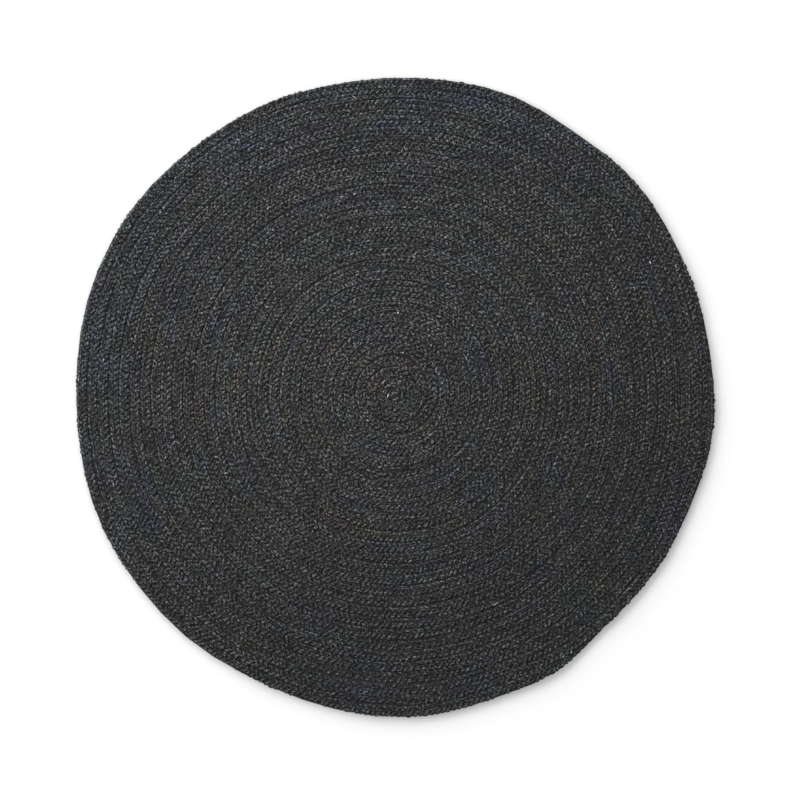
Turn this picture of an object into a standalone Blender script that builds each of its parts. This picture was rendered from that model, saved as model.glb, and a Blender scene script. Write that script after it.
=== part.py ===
"""Round rug made of one jute braid, wound flat in a spiral and sewn turn to turn.

One solid: a flat underside, a raised rib for each turn of the braid, a soft rim
that is as uneven as a hand-wound rug's, and the braid's thinned end on the rim.
Metres, +Z up, underside on z = 0, origin below the middle of the outline.
"""
import math
from collections import namedtuple

import bmesh
import bpy

# The braid and its coil
BRAID_WIDTH = 0.022  # across one turn, seam to seam
TURNS = 30  # whole turns, from the eye to the end on the rim
END_HEADING = math.radians(305.0)  # where the braid starts and ends, from +X towards +Y
EYE_X = -0.0023  # the coil winds round a point a little off the middle
EYE_Y = 0.0100

# Heights above the floor
CREST_HEIGHT = 0.0095  # on a turn's broad back
SEAM_HEIGHT = 0.0055  # in the groove between two turns
RIM_HEIGHT = 0.0050  # widest line of the outermost turn
RIM_TUCK = 0.0028  # how far the underside's edge lies inside that line
Line = namedtuple("Line", "across height")  # lines along the braid, as a share of its width
RIB = (
    Line(across=0.0, height=SEAM_HEIGHT),
    Line(across=0.24, height=CREST_HEIGHT),
    Line(across=0.76, height=CREST_HEIGHT),
    Line(across=1.0, height=SEAM_HEIGHT),
)

# The thinned end of the braid
TAPER_TURNS = 12.0 / 360.0  # length over which it narrows
END_SHARE = 0.42  # of the width, left at the very end

# The hand-wound outline: waves round the rim that fade out towards the eye
FADE = 3.0  # power of the distance from the eye
Wave = namedtuple("Wave", "count height heading")  # height in mm, first crest in degrees
RIM_WAVES = (
    Wave(count=1, height=5.1, heading=345.0),
    Wave(count=2, height=3.7, heading=2.0),
    Wave(count=3, height=0.9, heading=37.0),
    Wave(count=4, height=1.3, heading=63.0),
    Wave(count=5, height=2.0, heading=66.0),
    Wave(count=6, height=1.0, heading=31.0),
    Wave(count=7, height=1.0, heading=3.0),
    Wave(count=8, height=1.1, heading=36.0),
    Wave(count=9, height=1.8, heading=33.0),
    Wave(count=11, height=0.8, heading=7.0),
    Wave(count=14, height=0.8, heading=18.0),
    Wave(count=15, height=0.9, heading=17.0),
)

# Mesh
STEPS_A_TURN = 60
SEAM_MERGE = 0.0001  # edges of neighbouring turns meet along the seam
EYE_RADIUS = 0.008  # the first steps are finer than they need to be
EYE_MERGE = 0.002
SHARP_EDGE = math.radians(50.0)

JUTE_COLOUR = (0.034, 0.036, 0.040, 1.0)
JUTE_ROUGHNESS = 0.9


def clear_scene():
    for item in list(bpy.data.objects):
        bpy.data.objects.remove(item, do_unlink=True)


def rim_swell(angle):
    """How far the waves push the rim out at this angle."""
    return sum(
        wave.height / 1000.0 * math.cos(wave.count * (angle - math.radians(wave.heading)))
        for wave in RIM_WAVES
    )


def coil_radius(laid, angle):
    """Distance from the eye of a line that has this many braid widths inside it."""
    return BRAID_WIDTH * laid + rim_swell(angle) * (laid / TURNS) ** FADE


def width_share(wound):
    """Share of the braid's width: 1, but less where the end is thinned."""
    into_taper = max(0.0, 1.0 - (TURNS - wound) / TAPER_TURNS)
    return 1.0 - (1.0 - END_SHARE) * into_taper**2


def strip_point(wound, line):
    """Point of the top face on one line of the rib, after so many turns."""
    inner = max(0.0, wound - 1.0)
    width = (wound - inner) * width_share(wound)
    angle = END_HEADING + 2.0 * math.pi * wound
    radius = coil_radius(inner + width * line.across, angle)
    height = SEAM_HEIGHT + (line.height - SEAM_HEIGHT) * min(1.0, wound)
    on_rim = line == RIB[-1] and wound > TURNS - 1 + 0.5 / STEPS_A_TURN
    if on_rim:
        height = RIM_HEIGHT
    return EYE_X + radius * math.cos(angle), EYE_Y + radius * math.sin(angle), height


def wind_top(mesh):
    """Lay a long strip round and round; each turn shares its edge with the last."""
    strips = len(RIB) - 1
    bmesh.ops.create_grid(mesh, x_segments=STEPS_A_TURN * TURNS, y_segments=strips, size=1.0)
    for vert in mesh.verts:
        wound = TURNS * (vert.co.x + 1.0) / 2.0
        line = RIB[round(strips * (vert.co.y + 1.0) / 2.0)]
        vert.co = strip_point(wound, line)
    bmesh.ops.remove_doubles(mesh, verts=mesh.verts, dist=SEAM_MERGE)
    middle = [
        vert for vert in mesh.verts
        if math.hypot(vert.co.x - EYE_X, vert.co.y - EYE_Y) < EYE_RADIUS
    ]
    bmesh.ops.remove_doubles(mesh, verts=middle, dist=EYE_MERGE)


def close_underside(mesh):
    """Draw the rim down to the floor, tucked in a little, and fill it flat."""
    rim = [edge for edge in mesh.edges if edge.is_boundary]
    drawn = bmesh.ops.extrude_edge_only(mesh, edges=rim)["geom"]
    for vert in (item for item in drawn if isinstance(item, bmesh.types.BMVert)):
        from_eye = math.hypot(vert.co.x - EYE_X, vert.co.y - EYE_Y)
        inward = 1.0 - RIM_TUCK / from_eye
        vert.co.x = EYE_X + (vert.co.x - EYE_X) * inward
        vert.co.y = EYE_Y + (vert.co.y - EYE_Y) * inward
        vert.co.z = 0.0
    foot = [edge for edge in mesh.edges if edge.is_boundary]
    bmesh.ops.edgeloop_fill(mesh, edges=foot)
    bmesh.ops.recalc_face_normals(mesh, faces=mesh.faces)


def jute_material():
    material = bpy.data.materials.new("charcoal_jute")
    material.use_nodes = True
    shader = material.node_tree.nodes["Principled BSDF"]
    shader.inputs["Base Color"].default_value = JUTE_COLOUR
    shader.inputs["Roughness"].default_value = JUTE_ROUGHNESS
    shader.inputs["Metallic"].default_value = 0.0
    return material


def braided_rug(collection):
    """The whole rug, one braid in one piece."""
    mesh = bmesh.new()
    wind_top(mesh)
    close_underside(mesh)
    data = bpy.data.meshes.new("braided_rug")
    mesh.to_mesh(data)
    mesh.free()
    data.shade_smooth()
    data.set_sharp_from_angle(angle=SHARP_EDGE)
    data.materials.append(jute_material())
    rug = bpy.data.objects.new("braided_rug", data)
    collection.objects.link(rug)


def main():
    clear_scene()
    collection = bpy.data.collections.new("round_jute_rug")
    bpy.context.scene.collection.children.link(collection)
    braided_rug(collection)


main()
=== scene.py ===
"""Looks of a round jute rug: one three-strand braid, wound flat and sewn turn to turn.

Metres, +Z up, underside on z = 0. The coil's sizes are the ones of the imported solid.
"""
import math
from collections import namedtuple

import bpy
import numpy as np
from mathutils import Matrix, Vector


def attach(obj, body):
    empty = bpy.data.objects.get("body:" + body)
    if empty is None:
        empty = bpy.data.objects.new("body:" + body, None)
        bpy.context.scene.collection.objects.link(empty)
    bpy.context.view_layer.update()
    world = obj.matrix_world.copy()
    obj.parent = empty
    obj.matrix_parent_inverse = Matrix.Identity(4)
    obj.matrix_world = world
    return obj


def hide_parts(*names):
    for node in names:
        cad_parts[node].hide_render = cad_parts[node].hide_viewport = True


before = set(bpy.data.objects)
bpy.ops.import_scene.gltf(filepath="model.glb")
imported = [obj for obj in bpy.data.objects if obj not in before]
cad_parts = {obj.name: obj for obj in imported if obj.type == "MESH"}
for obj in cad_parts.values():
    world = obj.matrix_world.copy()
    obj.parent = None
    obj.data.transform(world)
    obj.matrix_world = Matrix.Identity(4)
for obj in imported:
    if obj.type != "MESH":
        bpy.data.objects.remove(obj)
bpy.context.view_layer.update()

# The coil, as in the solid
BRAID_WIDTH = 0.022
TURNS = 30
END_HEADING = math.radians(305.0)
EYE = Vector((-0.0023, 0.0100, 0.0))
FADE = 3.0  # power of the distance from the eye by which the rim's waves grow
Wave = namedtuple("Wave", "count height heading")  # height in mm, first crest in degrees
RIM_WAVES = (
    Wave(count=1, height=5.1, heading=345.0),
    Wave(count=2, height=3.7, heading=2.0),
    Wave(count=3, height=0.9, heading=37.0),
    Wave(count=4, height=1.3, heading=63.0),
    Wave(count=5, height=2.0, heading=66.0),
    Wave(count=6, height=1.0, heading=31.0),
    Wave(count=7, height=1.0, heading=3.0),
    Wave(count=8, height=1.1, heading=36.0),
    Wave(count=9, height=1.8, heading=33.0),
    Wave(count=11, height=0.8, heading=7.0),
    Wave(count=14, height=0.8, heading=18.0),
    Wave(count=15, height=0.9, heading=17.0),
)

# The thinned end of the braid, drawn out a little finer than the solid's
END_WOUND = TURNS + 6.0 / 360.0
TAPER_TURNS = 15.0 / 360.0
END_SHARE = 0.04  # of the width, left at the very end

# The three-strand plait
STRANDS = 3
PLAIT = 0.0336  # length of braid in which a strand comes back to its place
SWING = 0.0084  # how far a strand swings to each side
DIVE = 0.0017  # how far a strand goes over and under the others
MIDDLE = 0.0049  # height of the braid's middle
Girth = namedtuple("Girth", "width height")  # half of each, of the oval section
HUMP = Girth(width=0.0041, height=0.0029)  # where a strand humps over or under another
EDGE = Girth(width=0.0040, height=0.0037)  # where it turns at the braid's edge
NECK = Girth(width=0.0033, height=0.0024)  # where it dives at the braid's middle
RINGS_A_PLAIT = 10
SIDES = 8
FIRST_WOUND = 0.16  # turns from the eye at which the strands start
BLUNT_END = 0.0022  # turns by which they stop short of the thinned end
FLOOR_GAP = 0.0002
COIL_STEPS = 40000  # in which the braid is measured along the coil

# How unevenly it is plaited: how much, a seed, and the metres of braid between changes
Uneven = namedtuple("Uneven", "size seed spacing")
LONG_PACE = Uneven(size=0.12, seed=11, spacing=0.21)  # share of the plait's length
SHORT_PACE = Uneven(size=0.07, seed=12, spacing=0.04)
PHASE = Uneven(size=0.34, seed=50, spacing=0.012)  # radians by which a strand is early or late
BRAID_PULL = Uneven(size=0.06, seed=19, spacing=0.25)  # share of the swing and the dive
STRAND_PULL = Uneven(size=0.15, seed=20, spacing=0.013)
DRIFT = Uneven(size=0.0013, seed=29, spacing=0.11)  # metres to the side
BRAID_SAG = Uneven(size=0.0005, seed=30, spacing=0.11)  # metres up or down
STRAND_SAG = Uneven(size=0.0005, seed=31, spacing=0.011)
STRAND_GIRTH = Uneven(size=0.16, seed=40, spacing=0.011)  # share of its thickness

# The ground's section: share across the braid, and height
GROUND = (
    (0.01, 0.0066), (0.50, 0.0061), (0.99, 0.0066),
    (0.99, 0.0049), (0.50, 0.0046), (0.01, 0.0049),
)
GROUND_STEPS = 60  # a turn
GROUND_START = 0.02  # turns from the eye
GROUND_STOP = 0.01  # turns short of the solid's end
GROUND_RIM = 1.03  # share of the last turn's width that it fills
RIM_BLEND = 30.0  # one over the turns in which it widens to that

# The sewing thread
THREAD = 0.0005  # half its thickness
THREAD_SIDES = 4
STITCH_SPACING = 0.034
FIRST_STITCH = 0.10  # metres of braid from the start
LAST_STITCH = 0.02  # metres short of the end
# A stitch: across the seam, along it and height
STITCH = (
    (-0.0042, -0.0050, 0.0056), (-0.0022, -0.0024, 0.0079),
    (0.0022, 0.0024, 0.0079), (0.0042, 0.0050, 0.0056),
)
STITCH_SHIFT = Uneven(size=0.006, seed=51, spacing=STITCH_SPACING)  # metres along the seam
STITCH_SLACK = Uneven(size=0.25, seed=52, spacing=STITCH_SPACING)  # share of its length

# Stray hairs on the tops of the strands
HAIRS = 1200
HAIR_SEED = 61
HAIR = 0.00017  # half its thickness
HAIR_FLARE = (0.7, 1.3)  # share of that, from hair to hair
HAIR_THINNING = 0.6  # share that is lost towards its tip
HAIR_POINTS = 4
HAIR_SIDES = 3
HAIR_LENGTH = (0.005, 0.016)
HAIR_RISE = (0.0003, 0.0016)
HAIR_ARCH = 2.4  # radians of a sine from root to tip
HAIR_LEAN = 0.5  # how far off the strand's crest it starts, as a share of its width
HAIR_ROOT = 0.12  # share of the strand's height by which it starts under the surface
HAIR_CURL = 0.8
HAIR_SLANT = 0.4
TOP_SHARE = 0.6  # of the dive, above which a strand lies on top
BARE_RINGS = (30, 4)  # rings without hairs at a strand's start and end

# Tufts that the dye left pale
TUFT_HEIGHT = 0.0112
TUFT_DROOP = 0.0016  # by which its ends lie lower
TUFT_POINTS = 5
TUFT_SIDES = 6
TUFT_BLUNT = 1.05  # 1 would be a pointed end
# Their places: pixel, length in pixels, heading in degrees, thickness in pixels
Tuft = namedtuple("Tuft", "x y length heading thick")
TUFTS = (
    Tuft(398, 313, 2.4, 60, 1.40),
    Tuft(388, 396, 3.6, 75, 1.10),
    Tuft(380, 467, 2.4, 20, 0.75),
    Tuft(403, 353, 2.4, 150, 0.75),
    Tuft(79, 380, 3.0, 95, 0.70),
    Tuft(104, 360, 3.2, 80, 0.85),
    Tuft(202, 313, 2.4, 50, 0.75),
    Tuft(215, 308, 2.0, 120, 0.80),
    Tuft(154, 271, 2.2, 40, 0.75),
    Tuft(132, 339, 2.2, 100, 0.60),
    Tuft(355, 98, 6.0, 138, 0.50),
    Tuft(355, 148, 3.4, 15, 0.50),
    Tuft(357, 151, 3.4, 135, 0.50),
    Tuft(402, 151, 3.4, 65, 0.50),
    Tuft(342, 197, 4.2, 12, 0.60),
    Tuft(355, 194, 4.2, 15, 0.60),
    Tuft(495, 604, 4.0, 40, 0.50),
    Tuft(544, 614, 2.0, 30, 0.50),
    Tuft(563, 656, 2.6, 60, 0.50),
    Tuft(571, 652, 2.6, 60, 0.45),
    Tuft(650, 263, 3.2, 110, 1.10),
    Tuft(267, 307, 3.0, 40, 0.85),
    Tuft(114, 484, 2.6, 130, 0.75),
    Tuft(226, 473, 2.4, 30, 0.75),
    Tuft(268, 209, 2.2, 50, 0.80),
    Tuft(548, 135, 2.2, 140, 0.80),
    Tuft(612, 230, 2.2, 100, 0.75),
)

# UV maps
GRAIN_APART = 100.0  # metres of grain from one kind of piece to the next
CELL_ROOM = 0.96  # share of a bake cell that a tube's side takes; its ends go in the rest
CELL_EDGE = 0.02
CAP_HEIGHTS = (0.3, 0.7)  # where a tube's two ends lie in that rest
CAP_SIZE = (0.008, 0.08)
STRAND_CELLS = 37.6  # into which a stretch of strand is cut
GROUND_CELL = 50  # steps of the ground in a cell
THREAD_CELLS = 32  # side by side
HAIR_CELLS = 26
TUFT_CELLS = 4

# Photograph: 800 pixels, straight from above
PIXEL = 0.0020362  # metres at the rug
FRAME_PIXELS = 800
RUG_PIXEL = (395.4, 397.0)  # where the origin shows
LENS = 85.0
SENSOR = 36.0

# Three broad soft lamps at the upper left, and the room's own light
LAMP_DISTANCE = 30.0
LAMP_SIZE = 17.0
LAMP_POWER = 7000.0
LAMP_HEIGHT = math.radians(15.2)
LAMP_HEADINGS = {"lamp_above": 98.0, "lamp_between": 134.0, "lamp_left": 170.0}  # degrees
ROOM_LIGHT = 0.72
FLOOR_REACH = 40.0


def on_rug(across, down):
    """Where a pixel of the photograph lies, in metres."""
    return (across - RUG_PIXEL[0]) * PIXEL, (RUG_PIXEL[1] - down) * PIXEL


# ---- Coil ----


def rim_swell(angle):
    """How far the waves push the rim out at this angle."""
    return sum(
        wave.height / 1000.0 * np.cos(wave.count * (angle - math.radians(wave.heading)))
        for wave in RIM_WAVES
    )


def coil_radius(laid, angle):
    """Distance from the eye of a line that has this many braid widths inside it."""
    return BRAID_WIDTH * laid + rim_swell(angle) * (laid / TURNS) ** FADE


def width_share(wound):
    """Share of the braid's width: 1, but less where the end is thinned."""
    into_taper = np.clip(1.0 - (END_WOUND - wound) / TAPER_TURNS, 0.0, 1.0)
    return 1.0 - (1.0 - END_SHARE) * into_taper**2 * (3.0 - 2.0 * into_taper)


def lay(wound, across, height):
    """Points after so many turns, at a share across the braid, at a height."""
    inner = np.maximum(0.0, wound - 1.0)
    width = (wound - inner) * width_share(wound)
    angle = END_HEADING + 2.0 * math.pi * wound
    radius = coil_radius(inner + width * across, angle)
    flat = (EYE.x + radius * np.cos(angle), EYE.y + radius * np.sin(angle))
    return np.stack(np.broadcast_arrays(*flat, height), axis=-1)


def vary(uneven, place, strand=0):
    """A smooth seeded curve along the braid, within the unevenness either way."""
    count = int(np.max(place) / uneven.spacing) + 3
    knots = np.random.default_rng(uneven.seed + strand).uniform(-1.0, 1.0, count)
    left = np.floor(place / uneven.spacing).astype(int)
    blend = place / uneven.spacing - left
    blend = blend * blend * (3.0 - 2.0 * blend)
    return uneven.size * (knots[left] * (1.0 - blend) + knots[left + 1] * blend)


def measure_coil():
    """Turns wound, and the metres of braid laid by then, in small steps."""
    wound = np.linspace(FIRST_WOUND, END_WOUND - BLUNT_END, COIL_STEPS + 1)
    middle = lay(wound, 0.5, 0.0)
    steps = np.linalg.norm(np.diff(middle, axis=0), axis=1)
    return wound, np.concatenate([[0.0], np.cumsum(steps)])


COIL_WOUND, COIL_LAID = measure_coil()
BRAID_LENGTH = COIL_LAID[-1]


# ---- Meshes ----


def write_uv(mesh, name, corners):
    layer = mesh.uv_layers.new(name=name)
    layer.uv.foreach_set("vector", np.ascontiguousarray(corners, dtype=np.float32).ravel())


def grain_corners(along, sides):
    """Corners of the grain: the share round a tube and the metres along it."""
    side = np.arange(sides) / sides
    around = np.stack([side, side, side + 1.0 / sides, side + 1.0 / sides], axis=-1)
    metres = np.stack([along[:, :-1], along[:, 1:], along[:, 1:], along[:, :-1]], axis=-1)
    walls = np.stack(np.broadcast_arrays(around[None, None], metres[:, :, None]), axis=-1)
    ends = np.stack([along[:, 0], along[:, -1]], axis=1)
    caps = np.stack(np.broadcast_arrays(side, ends[..., None]), axis=-1)
    return np.concatenate([walls.reshape(-1, 2), caps.reshape(-1, 2)])


def bake_corners(tubes, steps, sides, cells_wide, cell_steps):
    """Corners of every tube laid side by side in cells that fill the unit square."""
    cells_a_tube = math.ceil(steps / cell_steps)
    cells_high = math.ceil(tubes * cells_a_tube / cells_wide)
    tube, step, side = np.meshgrid(
        np.arange(tubes), np.arange(steps), np.arange(sides), indexing="ij"
    )
    cell = tube * cells_a_tube + step // cell_steps
    corners = []
    for ahead, round_it in ((0, 0), (1, 0), (1, 1), (0, 1)):
        along = CELL_ROOM * (step % cell_steps + ahead) / cell_steps
        around = CELL_EDGE + CELL_ROOM * (side + round_it) / sides
        corners.append(np.stack([cell % cells_wide + along, cell // cells_wide + around], axis=-1))
    walls = np.stack(corners, axis=-2).reshape(-1, 2)
    turn = 2.0 * math.pi * np.arange(sides) / sides
    disc = np.stack([CAP_SIZE[0] * np.cos(turn), CAP_SIZE[1] * np.sin(turn)], axis=-1)
    first = np.arange(tubes) * cells_a_tube
    beside = first % cells_wide + (1.0 + CELL_ROOM) / 2.0
    spots = [np.stack([beside, first // cells_wide + height], axis=-1) for height in CAP_HEIGHTS]
    caps = (np.stack(spots, axis=1)[:, :, None, :] + disc).reshape(-1, 2)
    return np.concatenate([walls, caps]) / np.array([cells_wide, cells_high])


def tube_mesh(name, rings, cells_wide, cell_steps, along):
    """One mesh of closed tubes from points by tube, ring and side; along is each ring's metres."""
    tubes, count, sides = rings.shape[:3]
    index = np.arange(tubes * count * sides).reshape(tubes, count, sides)
    near, far = index[:, :-1], index[:, 1:]
    walls = np.stack([near, far, np.roll(far, -1, axis=2), np.roll(near, -1, axis=2)], axis=-1)
    caps = np.stack([index[:, 0], index[:, -1, ::-1]], axis=1)
    corner = np.concatenate([walls.ravel(), caps.ravel()])
    wall_starts = np.arange(walls.size // 4) * 4
    cap_starts = walls.size + np.arange(tubes * 2) * sides
    starts = np.concatenate([wall_starts, cap_starts])
    mesh = bpy.data.meshes.new(name)
    mesh.vertices.add(index.size)
    mesh.vertices.foreach_set("co", np.ascontiguousarray(rings, dtype=np.float32).ravel())
    mesh.loops.add(corner.size)
    mesh.loops.foreach_set("vertex_index", corner.astype(np.int32))
    mesh.polygons.add(starts.size)
    mesh.polygons.foreach_set("loop_start", starts.astype(np.int32))
    mesh.update(calc_edges=True)
    mesh.shade_smooth()
    write_uv(mesh, "grain", grain_corners(along, sides))
    write_uv(mesh, "OFBake", bake_corners(tubes, count - 1, sides, cells_wide, cell_steps))
    return mesh


def add_piece(name, mesh, finish):
    """A shown piece of the rug, which rides on its one body."""
    mesh.materials.append(finish)
    piece = bpy.data.objects.new(name, mesh)
    bpy.context.scene.collection.objects.link(piece)
    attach(piece, "root")
    return piece


def directions(middles):
    """Unit vectors along each path, to its side and up from it."""
    ahead = np.gradient(middles, axis=-2)
    ahead /= np.linalg.norm(ahead, axis=-1, keepdims=True)
    side = np.cross(ahead, (0.0, 0.0, 1.0))
    side /= np.linalg.norm(side, axis=-1, keepdims=True)
    return ahead, side, np.cross(side, ahead)


def skin(middles, half_width, half_height, sides):
    """Rings of an oval section round each path."""
    _, side, up = directions(middles)
    turn = 2.0 * math.pi * np.arange(sides) / sides
    wide = half_width[..., None, None] * np.cos(turn)[:, None] * side[..., None, :]
    high = half_height[..., None, None] * np.sin(turn)[:, None] * up[..., None, :]
    return middles[..., None, :] + wide + high


# ---- Pieces ----


def plait_steps():
    """Metres of braid at each ring; the plait is tighter and looser along the way."""
    rings = int(BRAID_LENGTH / PLAIT * RINGS_A_PLAIT) + 1
    nominal = np.arange(rings) * PLAIT / RINGS_A_PLAIT
    pace = 1.0 + vary(LONG_PACE, nominal) + vary(SHORT_PACE, nominal)
    laid = np.concatenate([[0.0], np.cumsum(pace[:-1])])
    return laid * BRAID_LENGTH / laid[-1]


def strand_path(strand, laid):
    """Middle line and section of one strand, ring by ring."""
    turn = 2.0 * math.pi * (np.arange(laid.size) / RINGS_A_PLAIT + strand / STRANDS)
    turn = turn + vary(PHASE, laid, strand)
    wound = np.interp(laid, COIL_LAID, COIL_WOUND)
    share = np.minimum(1.0, wound) * width_share(wound)
    pull = 1.0 + vary(BRAID_PULL, laid) + vary(STRAND_PULL, laid, strand)
    sag = vary(BRAID_SAG, laid) + vary(STRAND_SAG, laid, strand)
    over = -np.sin(2.0 * turn)
    height = MIDDLE + sag + DIVE * pull * over * np.abs(over) * np.sqrt(share)
    sway = share * vary(DRIFT, laid) + SWING * pull * np.sin(turn)
    middles = lay(wound, 0.5 + sway / BRAID_WIDTH, height)
    fat = np.sqrt(share) * (1.0 + vary(STRAND_GIRTH, laid, strand))
    at_edge, at_neck, at_hump = np.sin(turn) ** 4, np.cos(turn) ** 4, over**2 / 2.0
    half_width = fat * (EDGE.width * at_edge + NECK.width * at_neck + HUMP.width * at_hump)
    half_height = fat * (EDGE.height * at_edge + NECK.height * at_neck + HUMP.height * at_hump)
    return middles, half_width, half_height


def braid_strands(finish):
    """Each strand in an inner and an outer stretch of about equal length."""
    laid = plait_steps()
    half = laid.size // 2
    stretches = (("inner", slice(0, half + 1)), ("outer", slice(half, laid.size)))
    pieces = []
    paths = []
    for strand, letter in enumerate("abc"):
        middles, half_width, half_height = strand_path(strand, laid)
        paths.append((middles, half_width, half_height))
        rings = skin(middles, half_width, half_height, SIDES)
        rings[..., 2] = np.maximum(rings[..., 2], FLOOR_GAP)
        steps = np.linalg.norm(np.diff(middles, axis=0), axis=1)
        along = np.concatenate([[0.0], np.cumsum(steps)]) + strand * GRAIN_APART
        for where, part in stretches:
            name = f"strand_{letter}_{where}"
            cell_steps = math.ceil((rings[part].shape[0] - 1) / STRAND_CELLS)
            mesh = tube_mesh(name, rings[None, part], 1, cell_steps, along[None, part])
            pieces.append(add_piece(name, mesh, finish))
    return pieces, paths


def rug_ground(finish):
    """The jute flattened between the strands, seen only deep in the grooves; its dark tone is
    painted shade there.
    """
    wound = np.linspace(GROUND_START, TURNS - GROUND_STOP, GROUND_STEPS * TURNS + 1)
    last_turn = np.clip((wound - TURNS + 1.0) * RIM_BLEND, 0.0, 1.0)
    fill = 1.0 - (1.0 - GROUND_RIM) * last_turn
    rings = np.stack([lay(wound, across * fill, height) for across, height in GROUND], axis=1)
    mesh = tube_mesh("rug_ground", rings[None], 1, GROUND_CELL, wound[None])
    return add_piece("rug_ground", mesh, finish)


def seam_stitches(finish):
    """Thread that sews each turn to the one inside it, a slanted stitch at a time."""
    place = np.arange(FIRST_STITCH, BRAID_LENGTH - LAST_STITCH, STITCH_SPACING)
    place = place + vary(STITCH_SHIFT, place)
    wound = np.interp(place, COIL_LAID, COIL_WOUND)[:, None]
    across, along, height = (np.array(column) for column in zip(*STITCH))
    slack = 1.0 + vary(STITCH_SLACK, place)[:, None]
    wound_there = wound + along * slack / (2.0 * math.pi * BRAID_WIDTH * wound)
    middles = lay(wound_there, across * slack / BRAID_WIDTH, height)
    thick = np.full(middles.shape[:2], THREAD)
    rings = skin(middles, thick, thick, THREAD_SIDES)
    metres = place[:, None] + along
    mesh = tube_mesh("seam_stitches", rings, THREAD_CELLS, len(STITCH) - 1, metres)
    return add_piece("seam_stitches", mesh, finish)


def hair_roots(draw, middles, half_width, half_height):
    """Where hairs leave one strand, the way they go along it, and its side there."""
    ahead, side, up = directions(middles)
    on_top = np.flatnonzero(middles[:, 2] > MIDDLE + TOP_SHARE * DIVE)
    on_top = on_top[(on_top > BARE_RINGS[0]) & (on_top < len(middles) - BARE_RINGS[1])]
    chosen = draw.choice(on_top, HAIRS // STRANDS, replace=False)
    lean = draw.uniform(-HAIR_LEAN, HAIR_LEAN, chosen.size)[:, None]
    lift = np.sqrt(1.0 - lean**2) - HAIR_ROOT
    aside = side[chosen] * lean * half_width[chosen, None]
    above = up[chosen] * lift * half_height[chosen, None]
    forward = np.where(draw.random(chosen.size) < 0.5, -1.0, 1.0)[:, None]
    return middles[chosen] + aside + above, forward * ahead[chosen], side[chosen]


def stray_fibres(finish, paths):
    """Short hairs that leave the tops of the strands."""
    draw = np.random.default_rng(HAIR_SEED)
    roots = [hair_roots(draw, *path) for path in paths]
    start, aim, out = (np.concatenate(rows)[:, None, :] for rows in zip(*roots))
    count = start.shape[0]
    share = np.linspace(0.0, 1.0, HAIR_POINTS)
    length = draw.uniform(*HAIR_LENGTH, (count, 1, 1))
    curl = draw.uniform(-HAIR_CURL, HAIR_CURL, (count, 1, 1)) * share[:, None]
    curl = curl + draw.uniform(-HAIR_SLANT, HAIR_SLANT, (count, 1, 1))
    middles = start + length * share[:, None] * (aim + curl * out)
    rise = draw.uniform(*HAIR_RISE, (count, 1))
    middles[..., 2] = start[..., 2] + rise * np.sin(HAIR_ARCH * share)
    thick = HAIR * (1.0 - HAIR_THINNING * share) * draw.uniform(*HAIR_FLARE, (count, 1))
    along = 3.0 * GRAIN_APART + np.arange(count)[:, None] * 0.05 + share * length[..., 0]
    rings = skin(middles, thick, thick, HAIR_SIDES)
    mesh = tube_mesh("stray_fibres", rings, HAIR_CELLS, HAIR_POINTS - 1, along)
    return add_piece("stray_fibres", mesh, finish)


def undyed_tufts(finish):
    """Ends and slubs of jute that the dye left pale, lying on the braid."""
    share = np.linspace(-0.5, 0.5, TUFT_POINTS)
    from_middle = (2.0 * share) ** 2
    z = TUFT_HEIGHT - TUFT_DROOP * from_middle
    middles, thick = [], []
    for tuft in TUFTS:
        heading = math.radians(tuft.heading)
        reach = tuft.length * share
        x, y = on_rug(tuft.x + reach * math.cos(heading), tuft.y - reach * math.sin(heading))
        middles.append(np.stack([x, y, z], axis=-1))
        thick.append(tuft.thick * PIXEL / 2.0 * np.sqrt(TUFT_BLUNT - from_middle))
    middles, thick = np.array(middles), np.array(thick)
    along = 4.0 * GRAIN_APART + np.arange(len(TUFTS))[:, None] * 0.1 + share * 0.02
    rings = skin(middles, thick, thick, TUFT_SIDES)
    mesh = tube_mesh("undyed_tufts", rings, TUFT_CELLS, TUFT_POINTS - 1, along)
    return add_piece("undyed_tufts", mesh, finish)


# ---- Finishes ----


class Term:
    """A shader socket that takes part in Python expressions."""

    def __init__(self, finish, socket):
        self.finish = finish
        self.socket = socket

    def maths(self, operation, *terms):
        return self.finish.node("ShaderNodeMath", {"operation": operation}, *terms)

    def __add__(self, other):
        return self.maths("ADD", self, other)

    def __radd__(self, other):
        return self.maths("ADD", other, self)

    def __mul__(self, other):
        return self.maths("MULTIPLY", self, other)

    def __rmul__(self, other):
        return self.maths("MULTIPLY", other, self)

    def cos(self):
        return self.maths("COSINE", self)

    def sin(self):
        return self.maths("SINE", self)


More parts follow.
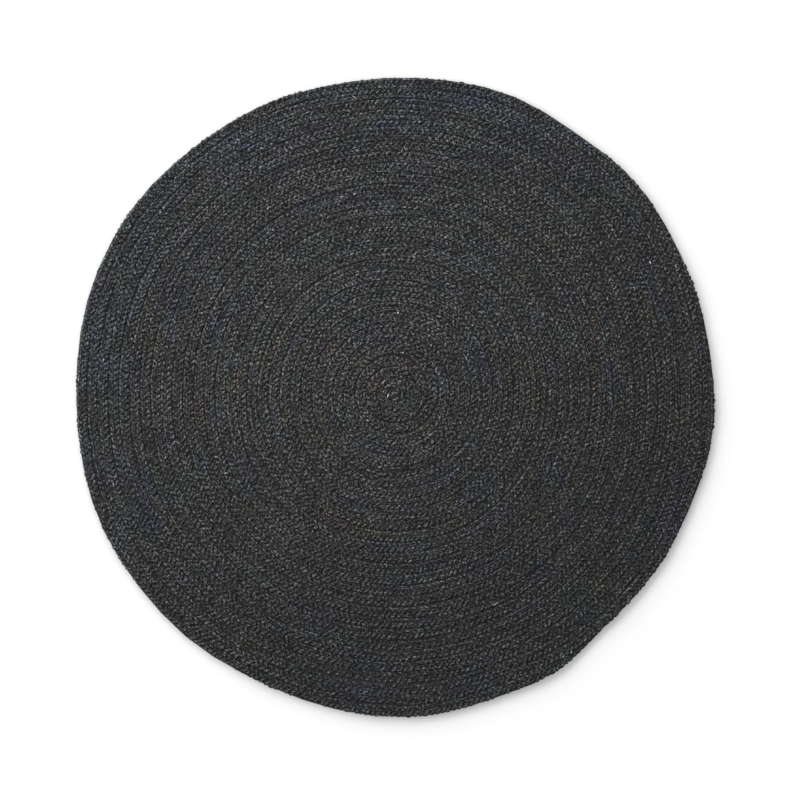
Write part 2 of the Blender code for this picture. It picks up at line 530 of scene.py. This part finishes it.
class Finish:
    """A material under construction: its nodes are added by type, settings and sockets."""

    def __init__(self, name, **constants):
        self.material = bpy.data.materials.new(name)
        self.material.use_nodes = True
        self.tree = self.material.node_tree
        self.shader = self.tree.nodes["Principled BSDF"]
        for socket, value in constants.items():
            self.shader.inputs[socket.replace("_", " ")].default_value = value

    def join(self, socket, value):
        """Links a term to a socket, or sets a value on it; None leaves it alone."""
        if isinstance(value, Term):
            self.tree.links.new(value.socket, socket)
        elif value is not None:
            socket.default_value = value

    def node(self, kind, settings=None, *values, out=0, **sockets):
        """Adds a node: settings first, then the sockets' values or links; gives one output."""
        made = self.tree.nodes.new(kind)
        for name, value in (settings or {}).items():
            if name == "stops":
                self.set_stops(made.color_ramp, value)
            else:
                setattr(made, name, value)
        for position, value in enumerate(values):
            self.join(made.inputs[position], value)
        for name, value in sockets.items():
            self.join(made.inputs[name], value)
        return Term(self, made.outputs[out])

    def set_stops(self, ramp, stops):
        while len(ramp.elements) < len(stops):
            ramp.elements.new(1.0)
        for element, (position, colour) in zip(ramp.elements, stops):
            element.position = position
            element.color = (*colour, 1.0)

    def noise(self, place, scale, detail=2.0, roughness=0.5, out=0):
        sockets = {"Vector": place, "Scale": scale, "Detail": detail, "Roughness": roughness}
        return self.node("ShaderNodeTexNoise", None, out=out, **sockets)

    def step(self, value, ramp):
        """Goes smoothly from the ramp's start to its end as the value goes from low to high."""
        smooth = {"interpolation_type": "SMOOTHSTEP"}
        return self.node("ShaderNodeMapRange", smooth, value, *ramp)

    def parts(self, vector):
        """The x, y and z of a vector."""
        split = self.node("ShaderNodeSeparateXYZ", None, vector).socket.node
        return [Term(self, output) for output in split.outputs]

    def join_parts(self, *values):
        return self.node("ShaderNodeCombineXYZ", None, *values)

    def vector_maths(self, operation, *values, out=0, **sockets):
        settings = {"operation": operation}
        return self.node("ShaderNodeVectorMath", settings, *values, out=out, **sockets)

    def mix(self, share, first, second, blend="MIX"):
        """Mixes two colours, whose sockets come after five that a colour mix leaves alone."""
        settings = {"data_type": "RGBA", "blend_type": blend}
        values = (share, None, None, None, None, None, first, second)
        return self.node("ShaderNodeMix", settings, *values, out=2)

    def feed(self, socket, value):
        self.join(self.shader.inputs[socket], value)


def rgb(*values):
    return (*values, 1.0)


WHITE = rgb(1.0, 1.0, 1.0)
FLOOR_TONE = rgb(0.8, 0.8, 0.8)
CHARCOAL = rgb(0.0322, 0.0321, 0.0328)

# Plainer finishes: noise cells a metre, and the two tones between which they vary
TwoTone = namedtuple("TwoTone", "name scale dark pale roughness")
# The ground's jute: its own tone, made darker than the strands as painted shade deep in the
# grooves
GROOVE_SHADE_JUTE = TwoTone(
    "groove_shade_jute", 260.0, rgb(0.006, 0.006, 0.0065), rgb(0.044, 0.044, 0.045), 0.95
)
DARK_THREAD = TwoTone(
    "dark_thread", 1500.0, rgb(0.006, 0.006, 0.007), rgb(0.020, 0.020, 0.021), 0.6
)
WORN_JUTE = TwoTone(
    "worn_jute", 300.0, rgb(0.050, 0.052, 0.054), rgb(0.150, 0.150, 0.145), 0.8
)
UNDYED_JUTE = TwoTone(
    "undyed_jute", 1200.0, rgb(0.300, 0.300, 0.285), rgb(0.620, 0.620, 0.590), 0.85
)

# How the dye took, from cold to warm: a share of each primary
DYE = (
    (0.31, (0.94, 0.96, 1.20)),
    (0.42, (0.94, 1.04, 1.03)),
    (0.49, (1.00, 1.00, 1.00)),
    (0.56, (1.00, 1.00, 1.00)),
    (0.62, (1.03, 1.02, 0.92)),
    (0.70, (1.06, 0.96, 1.04)),
)
LOT_SCALE = 1.2  # of the patches in which each primary also varies on its own
LOT_RANGE = (0.2, 0.2, 0.4)
LOT_LEAST = (0.9, 0.9, 0.8)
RIM_DYE = rgb(0.95, 1.00, 1.06)  # the outer turns on the upper-left side, the one that painted light makes lighter
END_DYE = rgb(0.90, 1.22, 1.06)
EYE_PLACE = (*on_rug(392.0, 393.0), MIDDLE)
END_PLACE = (*on_rug(566.0, 658.0), MIDDLE)
LIT_SIDE_HEADING = math.radians(118.0)  # the side of the rug that painted light makes lighter

# Noise that runs with a strand: cells a metre along it, and scale
Grain = namedtuple("Grain", "along scale")
TWIST = 20.0  # turns of the fibres in a metre of strand
STRAND_ROUND = 3.0  # radius of the circle that the noise is read on
BUNDLES = Grain(along=600.0, scale=0.36)
FIBRES = Grain(along=150.0, scale=2.6)
HUMPS = Grain(along=80.0, scale=1.0)
BUNDLE_RELIEF = 0.8  # share of the relief; the fibres give the rest
RELIEF_DEPTH = 0.0022

# Noise drawn out along the turns: cells a metre outwards and over the floor
Drawn = namedtuple("Drawn", "outwards flat shift")
PATCHES = Drawn(outwards=24.0, flat=9.0, shift=0.0)
LANES = Drawn(outwards=90.0, flat=7.0, shift=7.0)
STREAKS = Drawn(outwards=300.0, flat=20.0, shift=0.0)
GRIT_SCALE = 260.0
COMB = 2.0 * math.pi / 0.0054  # fine lines along the braid, this far apart
COMB_WAVER = (7.0, 30.0)  # noise cells a metre, and radians
COMB_DEPTH = 0.34

# Shares of the tone: a reading from low to high takes it from start to end
Ramp = namedtuple("Ramp", "low high start end")
BY_HEIGHT = Ramp(7.0, 10.2, 0.94, 1.16)  # in mm: darker low down as painted shade in the grooves, the tops paler from wear
BY_BUNDLE = Ramp(0.36, 0.74, 0.48, 2.15)
BY_FIBRE = Ramp(0.3, 0.7, 0.75, 1.25)
BY_GRIT = Ramp(0.36, 0.67, 0.28, 2.12)
BY_HUMP = Ramp(0.3, 0.7, 0.88, 1.15)
BY_LANE = Ramp(0.3, 0.7, 0.80, 1.22)
BY_STREAK = Ramp(0.3, 0.7, 0.80, 1.26)
# Painted light: lighter on the side towards the lamps. The next ramp makes it darker towards the
# rim.
BY_SIDE = Ramp(-0.6, 0.6, 0.77, 1.24)
BY_RADIUS = Ramp(0.1, 0.6, 1.05, 0.94)
BY_EYE = Ramp(0.008, 0.020, 1.4, 1.0)
# Shares of a mix
RIM_TURNS = Ramp(0.48, 0.58, 0.0, 1.0)
LIT_SIDE = Ramp(-0.25, 0.35, 0.0, 1.0)
BRAID_END = Ramp(0.010, 0.020, 1.0, 0.0)


def strand_grain(jute):
    """How a strand's fibre bundles, its fibres and its humps vary."""
    around, metres, _ = jute.parts(jute.node("ShaderNodeUVMap", {"uv_map": "grain"}))
    turn = (around + metres * TWIST) * (2.0 * math.pi)
    ring = (turn.cos() * STRAND_ROUND, turn.sin() * STRAND_ROUND)
    bundles, fibres = (
        jute.noise(jute.join_parts(*ring, metres * grain.along), grain.scale, 2.0, 0.6)
        for grain in (BUNDLES, FIBRES)
    )
    humps = jute.noise(jute.join_parts(metres * HUMPS.along, 0.0, 0.0), HUMPS.scale, 1.0)
    return bundles, fibres, humps


def jute_finish():
    """Dyed jute: twisted fibre bundles, dye that took unevenly, tops paler from wear with painted
    shade in the grooves, painted light that is lighter towards the lamps, and a tone darker
    towards the rim.
    """
    jute = Finish("charcoal_jute", Roughness=0.88, Specular_IOR_Level=0.15)
    bundles, fibres, humps = strand_grain(jute)
    relief = bundles * BUNDLE_RELIEF + fibres * (1.0 - BUNDLE_RELIEF)
    bump = jute.node(
        "ShaderNodeBump", None, Strength=1.0, Distance=RELIEF_DEPTH, Height=relief
    )
    jute.feed("Normal", bump)

    place = jute.node("ShaderNodeTexCoord", None, out="Object")
    x, y, z = jute.parts(place)
    radius = jute.vector_maths("LENGTH", place, out=1)
    from_eye = jute.vector_maths("DISTANCE", place, EYE_PLACE, out=1)
    from_end = jute.vector_maths("DISTANCE", place, END_PLACE, out=1)
    to_lit_side = x * math.cos(LIT_SIDE_HEADING) + y * math.sin(LIT_SIDE_HEADING)
    patches, lanes, streaks = (
        jute.join_parts(radius * drawn.outwards, x * drawn.flat + drawn.shift, y * drawn.flat)
        for drawn in (PATCHES, LANES, STREAKS)
    )

    # Painted shade low in the grooves, and tops paler from wear
    wear_and_groove_shade = jute.step(z * 1000.0, BY_HEIGHT)
    speck = jute.step(bundles, BY_BUNDLE) * jute.step(fibres, BY_FIBRE)
    broken = jute.step(jute.noise(place, GRIT_SCALE, 1.0), BY_GRIT) * jute.step(humps, BY_HUMP)
    lane = jute.step(jute.noise(lanes, 1.0, 2.0, 0.8), BY_LANE)
    streak = jute.step(jute.noise(streaks, 1.0, 1.0), BY_STREAK)
    waver = jute.noise(place, COMB_WAVER[0], 1.0) * COMB_WAVER[1]
    combed = (radius * COMB + waver).sin() * COMB_DEPTH + 1.0
    # Painted light, lighter on the side towards the lamps, times a tone that darkens towards the
    # rim
    painted_light_and_rim_tone = jute.step(to_lit_side, BY_SIDE) * jute.step(radius, BY_RADIUS)
    start = jute.step(from_eye, BY_EYE)
    shade = wear_and_groove_shade * speck * broken * lane * streak * combed * painted_light_and_rim_tone * start

    cold_to_warm = jute.noise(patches, 1.0, 2.0, 0.6)
    dye = jute.node("ShaderNodeValToRGB", {"stops": DYE}, cold_to_warm)
    lot = jute.noise(patches, LOT_SCALE, 1.0, out=1)
    lot_tint = jute.vector_maths("MULTIPLY_ADD", lot, LOT_RANGE, LOT_LEAST)
    dye = jute.mix(1.0, dye, lot_tint, "MULTIPLY")
    bluer = jute.step(radius, RIM_TURNS) * jute.step(to_lit_side, LIT_SIDE)
    dye = jute.mix(1.0, dye, jute.mix(bluer, WHITE, RIM_DYE), "MULTIPLY")
    dye = jute.mix(jute.step(from_end, BRAID_END), dye, END_DYE)
    tone = jute.mix(1.0, CHARCOAL, dye, "MULTIPLY")
    jute.feed("Base Color", jute.vector_maths("SCALE", tone, Scale=shade))
    return jute.material


def two_tone_finish(tones):
    """A plain fibrous finish between two tones."""
    finish = Finish(tones.name, Roughness=tones.roughness, Specular_IOR_Level=0.2)
    place = finish.node("ShaderNodeTexCoord", None, out="Object")
    varied = finish.mix(finish.noise(place, tones.scale), tones.dark, tones.pale)
    finish.feed("Base Color", varied)
    return finish.material


# ---- Room ----


def pale_floor():
    mesh = bpy.data.meshes.new("floor")
    corners = ((-1.0, -1.0), (1.0, -1.0), (1.0, 1.0), (-1.0, 1.0))
    points = [(FLOOR_REACH * x, FLOOR_REACH * y, 0.0) for x, y in corners]
    mesh.from_pydata(points, [], [(0, 1, 2, 3)])
    pale = Finish("pale_floor", Roughness=0.9)
    pale.feed("Base Color", FLOOR_TONE)
    mesh.materials.append(pale.material)
    floor = bpy.data.objects.new("floor", mesh)
    bpy.context.scene.collection.objects.link(floor)


def room_light():
    world = bpy.data.worlds.new("room")
    world.use_nodes = True
    background = world.node_tree.nodes["Background"]
    background.inputs["Color"].default_value = WHITE
    background.inputs["Strength"].default_value = ROOM_LIGHT
    bpy.context.scene.world = world


def soft_lamp(name, heading):
    """A broad round lamp that stands off at this heading and shines on the rug."""
    light = bpy.data.lights.new(name, "AREA")
    light.shape = "DISK"
    light.size = LAMP_SIZE
    light.energy = LAMP_POWER
    towards = Vector((
        math.cos(LAMP_HEIGHT) * math.cos(heading),
        math.cos(LAMP_HEIGHT) * math.sin(heading),
        math.sin(LAMP_HEIGHT),
    ))
    lamp = bpy.data.objects.new(name, light)
    lamp.location = towards * LAMP_DISTANCE
    lamp.rotation_mode = "QUATERNION"
    lamp.rotation_quaternion = towards.to_track_quat("Z", "Y")
    lamp.visible_camera = False
    bpy.context.scene.collection.objects.link(lamp)


def camera_above():
    """Camera straight above, with the photograph's frame."""
    camera = bpy.data.cameras.new("camera")
    camera.lens = LENS
    camera.sensor_width = SENSOR
    eye = bpy.data.objects.new("camera", camera)
    away = FRAME_PIXELS * PIXEL * LENS / SENSOR
    eye.location = (*on_rug(FRAME_PIXELS / 2.0, FRAME_PIXELS / 2.0), away + MIDDLE)
    bpy.context.scene.collection.objects.link(eye)
    bpy.context.scene.camera = eye


def plain_room():
    """Pale floor, soft light from the upper left, camera straight above."""
    bpy.context.scene.view_settings.view_transform = "Standard"
    pale_floor()
    room_light()
    for name, heading in LAMP_HEADINGS.items():
        soft_lamp(name, math.radians(heading))
    camera_above()


def main():
    plain_room()
    ground_shade = two_tone_finish(GROOVE_SHADE_JUTE)
    thread = two_tone_finish(DARK_THREAD)
    hair = two_tone_finish(WORN_JUTE)
    undyed = two_tone_finish(UNDYED_JUTE)
    strands, paths = braid_strands(jute_finish())
    ground = rug_ground(ground_shade)
    sewn_on = (seam_stitches(thread), stray_fibres(hair, paths), undyed_tufts(undyed))
    for piece in (*strands, ground, *sewn_on):
        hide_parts("braided_rug")


main()
